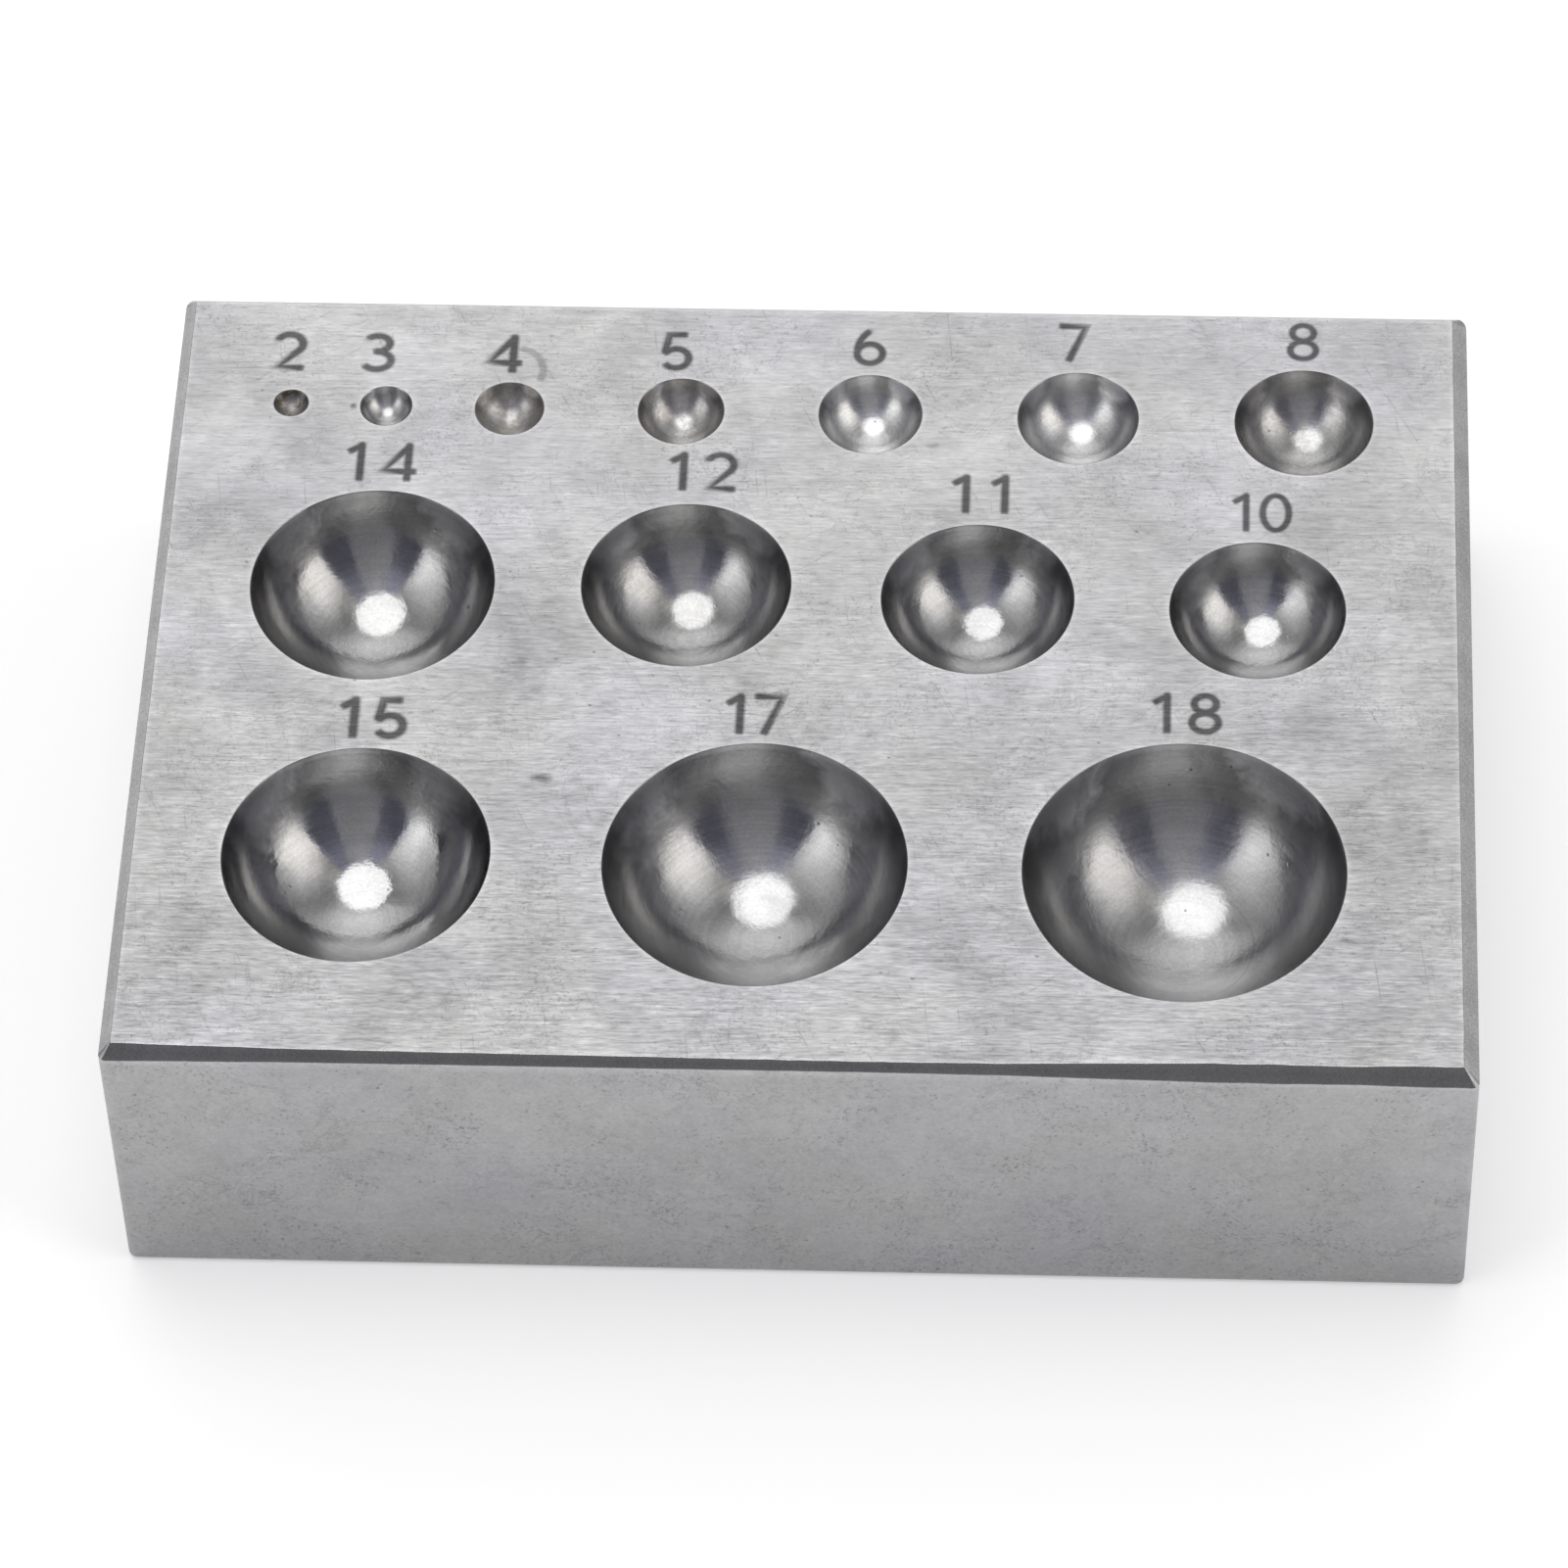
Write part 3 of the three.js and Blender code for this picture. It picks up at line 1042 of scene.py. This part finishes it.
def ground_steel():
    """The ground top face: grain, stains, dull patches, pits, hairline scratches and etched numerals."""
    material, w, shader = new_steel("ground_steel", 0.42)
    place = w.place_mm()
    grinding = w.group(GRINDING, Place=place, Fineness=1.0)
    stain = w.group(STAIN, Place=place, Size_mm=7.0)
    mottle = w.group(STAIN, Place=place, Size_mm=1.6)
    pits = w.group(PITS, Place=place, Spacing_mm=1.7, Pit_mm=0.16).outputs["Pits"]
    scratches = None
    for degrees, rarity in ((38, 0.68), (-64, 0.68), (3, 0.64), (97, 0.7)):
        one_way = w.group(SCRATCHES, Place=w.turned(place, degrees, (1, 1, 1)), Rarity=rarity).outputs[0]
        scratches = one_way if scratches is None else w.math("MAXIMUM", scratches, one_way)
    tide = w.group(TIDE, Place=place, Size_mm=5.0, Width=0.016).outputs[0]
    specks = w.group(SPECKS, Place=place, Grain_mm=0.22, Cluster_mm=5.0).outputs[0]
    dashes = w.noise(w.vector("MULTIPLY", place, (0.9, 5.2, 5.2)), 1.0, 1, 0.5)
    wear = value_of(w, "wear")
    mark = value_of(w, "mark")
    patches = []
    for x, y, reach, breadth, strength in DULL_PATCHES:
        patch = w.group(PATCH, Place=place, Middle=(x, y, TOP / MM), Reach_mm=reach, Breadth=breadth)
        patches.append(w.product(patch.outputs[0], strength))
    dull = w.total(*patches)

    # The grain is weaker towards the back of the face
    towards_back = w.parts_of(place).outputs["Y"]
    depth_of_grain = w.ramp(towards_back, -20, 18, 1.0, 0.55)
    grain = w.product(w.math("SUBTRACT", grinding.outputs["Streaks"], 0.5), depth_of_grain)
    tone = w.product(
        w.ramp(grain, -0.16, 0.16, 0.345, 0.655),
        # Lighter towards the back: a painted gradient of light
        w.ramp(towards_back, -22, 22, 0.95, 1.1),
        w.varied(stain.outputs["Cloud"], 0.87, 1.12),
        w.varied(mottle.outputs["Cloud"], 0.93, 1.07),
        w.math("SUBTRACT", 1.0, dull),
        w.where(pits, 0.62),
        w.where(scratches, 0.84),
        w.where(tide, 0.82),
        w.where(specks, 0.76),
        w.ramp(dashes, 0.64, 0.74, 1.0, 0.8),
    )
    # Worn edges and rims are painted lighter: partly wear, partly a painted highlight
    tone = w.total(tone, w.product(wear, 0.05))
    blotches = w.product(mark, mottle.outputs["Cloud"])
    etched = w.product(w.where(mark, 0.29), w.varied(blotches, 1.0, 0.75))
    tone = w.product(tone, etched)
    cool = w.ramp(stain.outputs["Tint"], 0.4, 0.62)
    tint = w.mix(cool, (1.0, 0.995, 0.993, 1), (0.995, 0.982, 1.02, 1))
    w.join(w.mix(1.0, w.grey(tone), tint, "MULTIPLY"), shader.inputs["Base Color"])

    rough = w.total(
        w.ramp(grain, -0.16, 0.16, 0.48, 0.36),
        w.product(mark, 0.15),
        w.ramp(stain.outputs["Cloud"], 0.35, 0.65, 0.05, -0.04),
        w.product(dull, 0.8),
        w.product(wear, -0.1),
    )
    w.join(rough, shader.inputs["Roughness"])

    height = w.total(
        w.product(grain, GRAIN_HEIGHT),
        w.product(pits, -TOP_PIT_DEPTH),
        w.product(scratches, -SCRATCH_DEPTH),
    )
    w.join(w.bump(height), shader.inputs["Normal"])
    return material


def filed_steel():
    """The flats filed on the edges, with the file's marks across them. The front-facing one is painted
    darkest, a painted shade.
    """
    material, w, shader = new_steel("filed_steel", 0.26)
    place = w.place_mm()
    marks = w.noise(w.vector("MULTIPLY", place, (9, 9, 2.2)), 1.0, 3, 0.6, 0.2)
    stain = w.group(STAIN, Place=place, Size_mm=4.0)
    wear = value_of(w, "wear")
    facing = w.parts_of(w.node("ShaderNodeTexCoord").outputs["Normal"])
    front = w.ramp(facing.outputs["Y"], -0.6, -0.4, 1.0, 0.0)
    tone = w.product(
        w.varied(marks, 0.32, 0.45),
        w.varied(stain.outputs["Cloud"], 0.88, 1.08),
        # Darker where the flat faces the front: a painted shade
        w.where(front, 0.66),
    )
    # Worn edges of the flats are painted lighter: partly wear, partly a painted highlight
    w.join(w.grey(w.total(tone, w.product(wear, 0.06))), shader.inputs["Base Color"])
    w.join(w.varied(marks, 0.32, 0.22), shader.inputs["Roughness"])
    w.join(w.bump(w.product(marks, FILE_MARK_HEIGHT)), shader.inputs["Normal"])
    return material


def side_steel():
    """The four sides: smooth and softly mottled, with fine specks and a few pale scratches."""
    material, w, shader = new_steel("side_steel", 0.4)
    place = w.place_mm()
    stain = w.group(STAIN, Place=place, Size_mm=5.0)
    fine = w.group(STAIN, Place=place, Size_mm=0.9)
    grit = w.noise(place, 4.5, 2, 0.6)
    pits = w.group(PITS, Place=place, Spacing_mm=0.9, Pit_mm=0.15).outputs["Pits"]
    specks = w.group(SPECKS, Place=place, Grain_mm=0.2, Cluster_mm=3.5).outputs[0]
    tide = w.group(TIDE, Place=place, Size_mm=4.0, Width=0.014).outputs[0]
    slanted = w.group(SCRATCHES, Place=w.turned(place, 0, (1, 1, 5)), Rarity=0.66).outputs[0]
    wear = value_of(w, "wear")
    height_mm = w.parts_of(place).outputs["Z"]
    tone = w.product(
        w.varied(stain.outputs["Cloud"], 0.4, 0.436),
        # Darker towards the bottom: a painted shade near the floor
        w.ramp(height_mm, 0, 17, 0.81, 1.0),
        w.varied(fine.outputs["Cloud"], 0.96, 1.04),
        w.varied(grit, 0.93, 1.07),
        w.where(pits, 0.65),
        w.where(specks, 0.72),
        w.where(tide, 0.8),
        w.where(slanted, 1.08),
    )
    # Worn edges of the sides are painted lighter: partly wear, partly a painted highlight
    tone = w.total(tone, w.product(wear, 0.08))
    tint = w.mix(w.ramp(stain.outputs["Tint"], 0.4, 0.7), (1.0, 0.99, 0.99, 1), (0.99, 0.98, 1.02, 1))
    w.join(w.mix(1.0, w.grey(tone), tint, "MULTIPLY"), shader.inputs["Base Color"])
    rough = w.total(
        w.varied(stain.outputs["Cloud"], 0.44, 0.38),
        w.varied(fine.outputs["Cloud"], 0.03, -0.03),
    )
    w.join(rough, shader.inputs["Roughness"])
    height = w.total(w.product(fine.outputs["Cloud"], SIDE_GRAIN_HEIGHT), w.product(pits, -SIDE_PIT_DEPTH))
    w.join(w.bump(height), shader.inputs["Normal"])
    return material


def underside_steel():
    """The ground underside, scuffed by the bench."""
    material, w, shader = new_steel("underside_steel", 0.45)
    place = w.place_mm()
    streaks = w.group(GRINDING, Place=place, Fineness=0.8).outputs["Streaks"]
    stain = w.group(STAIN, Place=place, Size_mm=12.0)
    scuffs = w.group(SCRATCHES, Place=w.turned(place, 55, (1, 1, 1)), Rarity=0.66).outputs[0]
    tone = w.product(
        w.varied(streaks, 0.45, 0.58),
        w.varied(stain.outputs["Cloud"], 0.85, 1.05),
        w.where(scuffs, 0.8),
    )
    w.join(w.grey(tone), shader.inputs["Base Color"])
    w.join(w.varied(streaks, 0.5, 0.4), shader.inputs["Roughness"])
    w.join(w.bump(w.product(streaks, UNDERSIDE_GRAIN_HEIGHT)), shader.inputs["Normal"])
    return material


# How far the pockets' walls with painted light lie off the diagonals, in degrees anticlockwise as seen from
# above
CORNER_TURN = 7

# No part of a pocket is rougher than DULLEST. In the pockets whose own dullness is above DULL_FROM, the limit
# is DULL_POCKETS_DULLEST.
DULL_FROM = 0.26
DULLEST = 0.265
DULL_POCKETS_DULLEST = 0.6


def pocket_steel():
    """The polished pockets: faint turning rings, dull smears, specks, and brown residue in some of them."""
    material, w, shader = new_steel("pocket_steel", 0.12)
    place = w.place_mm()
    residue = value_of(w, "residue")
    dullness = value_of(w, "dullness")
    steepness = value_of(w, "steepness")
    wear = value_of(w, "wear")
    shift = w.node("ShaderNodeCombineXYZ")
    w.join(w.product(value_of(w, "pocket_seed"), 9.7), shift.inputs[0])
    w.join(w.product(value_of(w, "turning_mm"), 5.0), shift.inputs[1])
    around = w.vector("ADD", w.vector("MULTIPLY", place, (0.12, 0.12, 0.12)), shift.outputs[0])
    rings = w.noise(around, 1.0, 3, 0.65)
    smear = w.group(STAIN, Place=place, Size_mm=3.0).outputs["Cloud"]
    fine = w.group(STAIN, Place=place, Size_mm=0.6).outputs["Cloud"]
    grit = w.noise(place, 6.0, 1, 0.5)
    pits = w.group(PITS, Place=place, Spacing_mm=1.1, Pit_mm=0.13).outputs["Pits"]

    # The steep walls are duller at the back left and back right and painted paler there, a painted
    # reflection, with painted shade on either side of that
    normal = w.node("ShaderNodeTexCoord").outputs["Normal"]
    swung = w.parts_of(w.turned(normal, CORNER_TURN, (1, -1, 1)))
    corner = w.product(w.math("ABSOLUTE", swung.outputs["X"]), swung.outputs["Y"])
    corner = w.total(corner, w.product(w.math("SUBTRACT", smear, 0.5), 0.3))
    painted_corner_light = w.product(w.ramp(corner, 0.08, 0.18, 1.0, 0.74), w.ramp(corner, 0.34, 0.42, 1.0, 2.3))
    steep = w.ramp(steepness, 0.66, 0.82)
    painted_corner_light = w.total(w.product(w.math("SUBTRACT", painted_corner_light, 1.0), steep), 1.0)

    # In front of the lowest point lies a painted highlight: a paler band painted into the steel's colour
    facing = w.parts_of(normal)
    sideways = w.math("ABSOLUTE", facing.outputs["X"])
    towards_back = facing.outputs["Y"]
    painted_highlight_band = w.product(
        w.ramp(towards_back, 0.09, 0.16),
        w.ramp(towards_back, 0.26, 0.36, 1.0, 0.0),
        w.ramp(sideways, 0.2, 0.45, 1.0, 0.0),
    )

    tone = w.product(
        w.varied(rings, 0.4, 0.46),
        value_of(w, "paleness"),
        w.ramp(steepness, 0.66, 0.86, 1.0, 0.82),
        w.varied(smear, 0.86, 1.12),
        painted_corner_light,
        w.where(painted_highlight_band, 1.3),
        w.varied(grit, 0.94, 1.06),
        w.where(pits, 0.6),
    )
    # Worn rims are painted lighter: partly wear, partly a painted highlight
    metal = w.grey(w.total(tone, w.product(wear, 0.12)))
    specks = w.ramp(fine, 0.47, 0.56)
    grime = w.product(residue, w.total(0.25, w.product(specks, 0.75)))
    brown = w.mix(1.0, metal, (0.5, 0.42, 0.32, 1), "MULTIPLY")
    w.join(w.mix(grime, metal, brown), shader.inputs["Base Color"])
    w.join(w.where(grime, 0.6), shader.inputs["Metallic"])

    rough = w.total(
        dullness,
        w.ramp(smear, 0.35, 0.65, -0.02, 0.03),
        w.ramp(rings, 0.35, 0.65, 0.0, 0.02),
        w.product(grime, 0.1),
        w.ramp(steepness, 0.6, 0.85, 0.0, 0.05),
        w.ramp(towards_back, 0.1, 0.32, 0.0, 0.2),
        w.ramp(corner, 0.24, 0.38, 0.0, 0.2),
    )
    dullest = w.ramp(dullness, DULL_FROM, DULL_FROM + 0.01, DULLEST, DULL_POCKETS_DULLEST)
    w.join(w.math("MINIMUM", rough, dullest), shader.inputs["Roughness"])

    height = w.total(
        w.product(rings, TURNING_HEIGHT),
        w.product(smear, POLISH_WAVE_HEIGHT),
        w.product(fine, POLISH_GRAIN_HEIGHT),
        w.product(pits, -POCKET_PIT_DEPTH),
    )
    w.join(w.bump(height), shader.inputs["Normal"])
    return material


block = build_block()
for material in (ground_steel(), filed_steel(), side_steel(), underside_steel(), pocket_steel()):
    block.data.materials.append(material)
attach(block, "root")
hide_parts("block")


# Studio: an open-fronted tent of white cloth, with an eight-sided box of light above it

# Level of the tent's walls by azimuth in degrees, 0 at the back, 90 at the right and 180 at the open front,
# in rings at four heights, each given as its elevation in degrees and its levels. The levels were worked out
# from what the polished pockets mirror in the photograph, and then rounded and changed.
WALL_RINGS = (
    (20, ((-180, 0.32), (-163, 0.32), (-160, 0.16), (-134, 0.11), (-131, 1.4), (-120, 2.05), (-110, 1.4),
          (-98, 0.95), (-88, 0.5), (-70, 0.34), (-50, 0.42), (-20, 0.82), (5, 0.85), (25, 0.64), (45, 0.42),
          (68, 0.45), (80, 0.85), (90, 1.6), (105, 2.0), (120, 1.7), (124, 0.12), (152, 0.14), (155, 0.3),
          (180, 0.32))),
    (42, ((-180, 0.42), (-163, 0.42), (-160, 0.22), (-134, 0.16), (-131, 1.2), (-120, 1.5), (-104, 1.05),
          (-80, 0.7), (-66, 0.5), (-58, 0.48), (-46, 0.85), (-20, 1.15), (5, 1.1), (25, 0.88), (42, 0.5),
          (52, 0.45), (68, 0.8), (80, 1.2), (90, 1.55), (110, 1.6), (121, 1.4), (124, 0.16), (152, 0.18),
          (155, 0.4), (180, 0.42))),
    (56, ((-180, 0.48), (-150, 0.42), (-134, 0.42), (-128, 0.8), (-104, 0.78), (-84, 0.55), (-68, 0.4),
          (-58, 0.45), (-46, 0.95), (-20, 1.35), (5, 1.3), (22, 1.02), (38, 0.5), (50, 0.38), (62, 0.5),
          (76, 0.75), (94, 0.98), (112, 0.85), (122, 0.55), (132, 0.28), (150, 0.3), (155, 0.42),
          (180, 0.48))),
    (61, ((-180, 0.58), (-150, 0.5), (-110, 0.55), (-85, 0.4), (-55, 0.45), (-20, 0.95), (20, 0.88),
          (45, 0.4), (65, 0.36), (80, 0.5), (95, 0.62), (112, 0.58), (128, 0.36), (145, 0.34), (160, 0.48),
          (180, 0.58))),
)
WALLS_BRIGHTEST = 2.1

# Tint of the walls by azimuth: the open front shows a bluish room, the right wall is a little warm
WALL_TINTS = (
    (-180, (0.99, 0.98, 1.03)), (-163, (0.98, 0.97, 1.05)), (-158, (0.9, 0.9, 1.15)),
    (-134, (0.9, 0.9, 1.17)), (-130, (1.0, 1.0, 1.0)), (75, (1.0, 1.0, 1.0)), (92, (1.03, 1.0, 0.96)),
    (121, (1.03, 1.0, 0.97)), (125, (0.9, 0.9, 1.17)), (150, (0.9, 0.9, 1.15)), (156, (0.98, 0.97, 1.05)),
    (180, (0.99, 0.98, 1.03)),
)
BRIGHTEST_TINT = 1.2

# The box of light: its middle, its half width over flats, and its level
BOX_AT = Vector((-0.11, 0.066, 1.07))
BOX_SIDES = 8
BOX_REACH = 0.4
BOX_LEVEL = 2.25

# The floor: how far it reaches, its tone for light and as it is seen, and the glow that makes it look white
FLOOR_REACH = 3.0
FLOOR_TONE = 0.8
FLOOR_SEEN_TONE = 0.86
FLOOR_GLOW = 0.32


def seen_directly(w):
    """1 for what the camera sees, and for what metal or glass shows of it."""
    path = w.node("ShaderNodeLightPath")
    seen = w.math("MAXIMUM", path.outputs["Is Camera Ray"], path.outputs["Is Glossy Ray"])
    return w.math("MAXIMUM", seen, path.outputs["Is Transmission Ray"])


def pale_floor():
    """A wide white floor that keeps the block's shadow."""
    mesh = bpy.data.meshes.new("studio_floor")
    reach = FLOOR_REACH
    corners = [(-reach, -reach, 0), (reach, -reach, 0), (reach, reach, 0), (-reach, reach, 0)]
    mesh.from_pydata(corners, [], [(0, 1, 2, 3)])
    floor = bpy.data.objects.new("studio_floor", mesh)
    bpy.context.scene.collection.objects.link(floor)
    material, w, shader = new_material("floor_paint")
    shader.inputs["Roughness"].default_value = 0.9
    shader.inputs["Specular IOR Level"].default_value = 0.0
    seen = seen_directly(w)
    paint = w.mix(seen, (FLOOR_TONE,) * 3 + (1,), (FLOOR_SEEN_TONE,) * 3 + (1,))
    w.join(paint, shader.inputs["Base Color"])
    shader.inputs["Emission Color"].default_value = (1, 1, 1, 1)
    w.join(w.product(seen, FLOOR_GLOW), shader.inputs["Emission Strength"])
    mesh.materials.append(material)


def light_box():
    """The eight-sided box of light, which shines down only and isn't seen by the camera."""
    half_side = 180 / BOX_SIDES
    around = [math.radians(half_side + 2 * half_side * i) for i in range(BOX_SIDES)]
    reach = BOX_REACH / math.cos(math.radians(half_side))
    corners = [(reach * math.cos(a), reach * math.sin(a), 0) for a in around]
    mesh = bpy.data.meshes.new("light_box")
    mesh.from_pydata(corners, [], [tuple(reversed(range(BOX_SIDES)))])
    box = bpy.data.objects.new("light_box", mesh)
    box.location = BOX_AT
    box.rotation_euler = (-BOX_AT).to_track_quat("-Z", "Y").to_euler()
    box.visible_camera = False
    bpy.context.scene.collection.objects.link(box)
    material, w, shader = new_material("light_box_cloth")
    shader.inputs["Base Color"].default_value = (0, 0, 0, 1)
    shader.inputs["Emission Color"].default_value = (1, 1, 1, 1)
    side = w.node("ShaderNodeNewGeometry")
    lit = w.math("SUBTRACT", 1.0, side.outputs["Backfacing"])
    w.join(w.product(lit, BOX_LEVEL), shader.inputs["Emission Strength"])
    mesh.materials.append(material)


def wall_ramp(w, share, colours, brightest):
    """A ramp over the azimuth, from the front round by the left, back and right to the front again."""
    ramp = w.node("ShaderNodeValToRGB")
    w.join(share, ramp.inputs["Fac"])
    marks = ramp.color_ramp.elements
    while len(marks) < len(colours):
        marks.new(0.5)
    for mark, (azimuth, _) in zip(marks, colours):
        mark.position = azimuth / 360 + 0.5
    for mark, (_, colour) in zip(marks, colours):
        mark.color = [channel / brightest for channel in colour] + [1]
    return ramp.outputs["Color"]


def studio_world():
    """The tent's walls, as light from every direction. The camera sees plain white beyond the floor."""
    world = bpy.data.worlds.new("studio")
    bpy.context.scene.world = world
    world.use_nodes = True
    tree = world.node_tree
    w = Wiring(tree)
    background = tree.nodes["Background"]
    where = w.node("ShaderNodeTexCoord")
    parts = w.parts_of(where.outputs["Generated"])
    azimuth = w.math("ARCTAN2", parts.outputs["X"], parts.outputs["Y"])
    share = w.total(w.math("DIVIDE", azimuth, 2 * math.pi), 0.5)
    elevation = w.math("ARCSINE", parts.outputs["Z"])
    walls = None
    for degrees, levels in WALL_RINGS:
        ring = wall_ramp(w, share, [(at, (level,) * 3) for at, level in levels], WALLS_BRIGHTEST)
        if walls is None:
            walls = ring
        else:
            height = w.ramp(elevation, math.radians(below), math.radians(degrees))
            walls = w.mix(height, walls, ring)
        below = degrees
    tint = wall_ramp(w, share, WALL_TINTS, BRIGHTEST_TINT)
    walls = w.mix(1.0, walls, tint, "MULTIPLY")
    path = w.node("ShaderNodeLightPath")
    white = 1 / (WALLS_BRIGHTEST * BRIGHTEST_TINT)
    seen = w.mix(path.outputs["Is Camera Ray"], walls, (white, white, white, 1))
    w.join(seen, background.inputs["Color"])
    background.inputs["Strength"].default_value = WALLS_BRIGHTEST * BRIGHTEST_TINT


pale_floor()
light_box()
studio_world()

scene = bpy.context.scene
scene.view_settings.view_transform = "Standard"
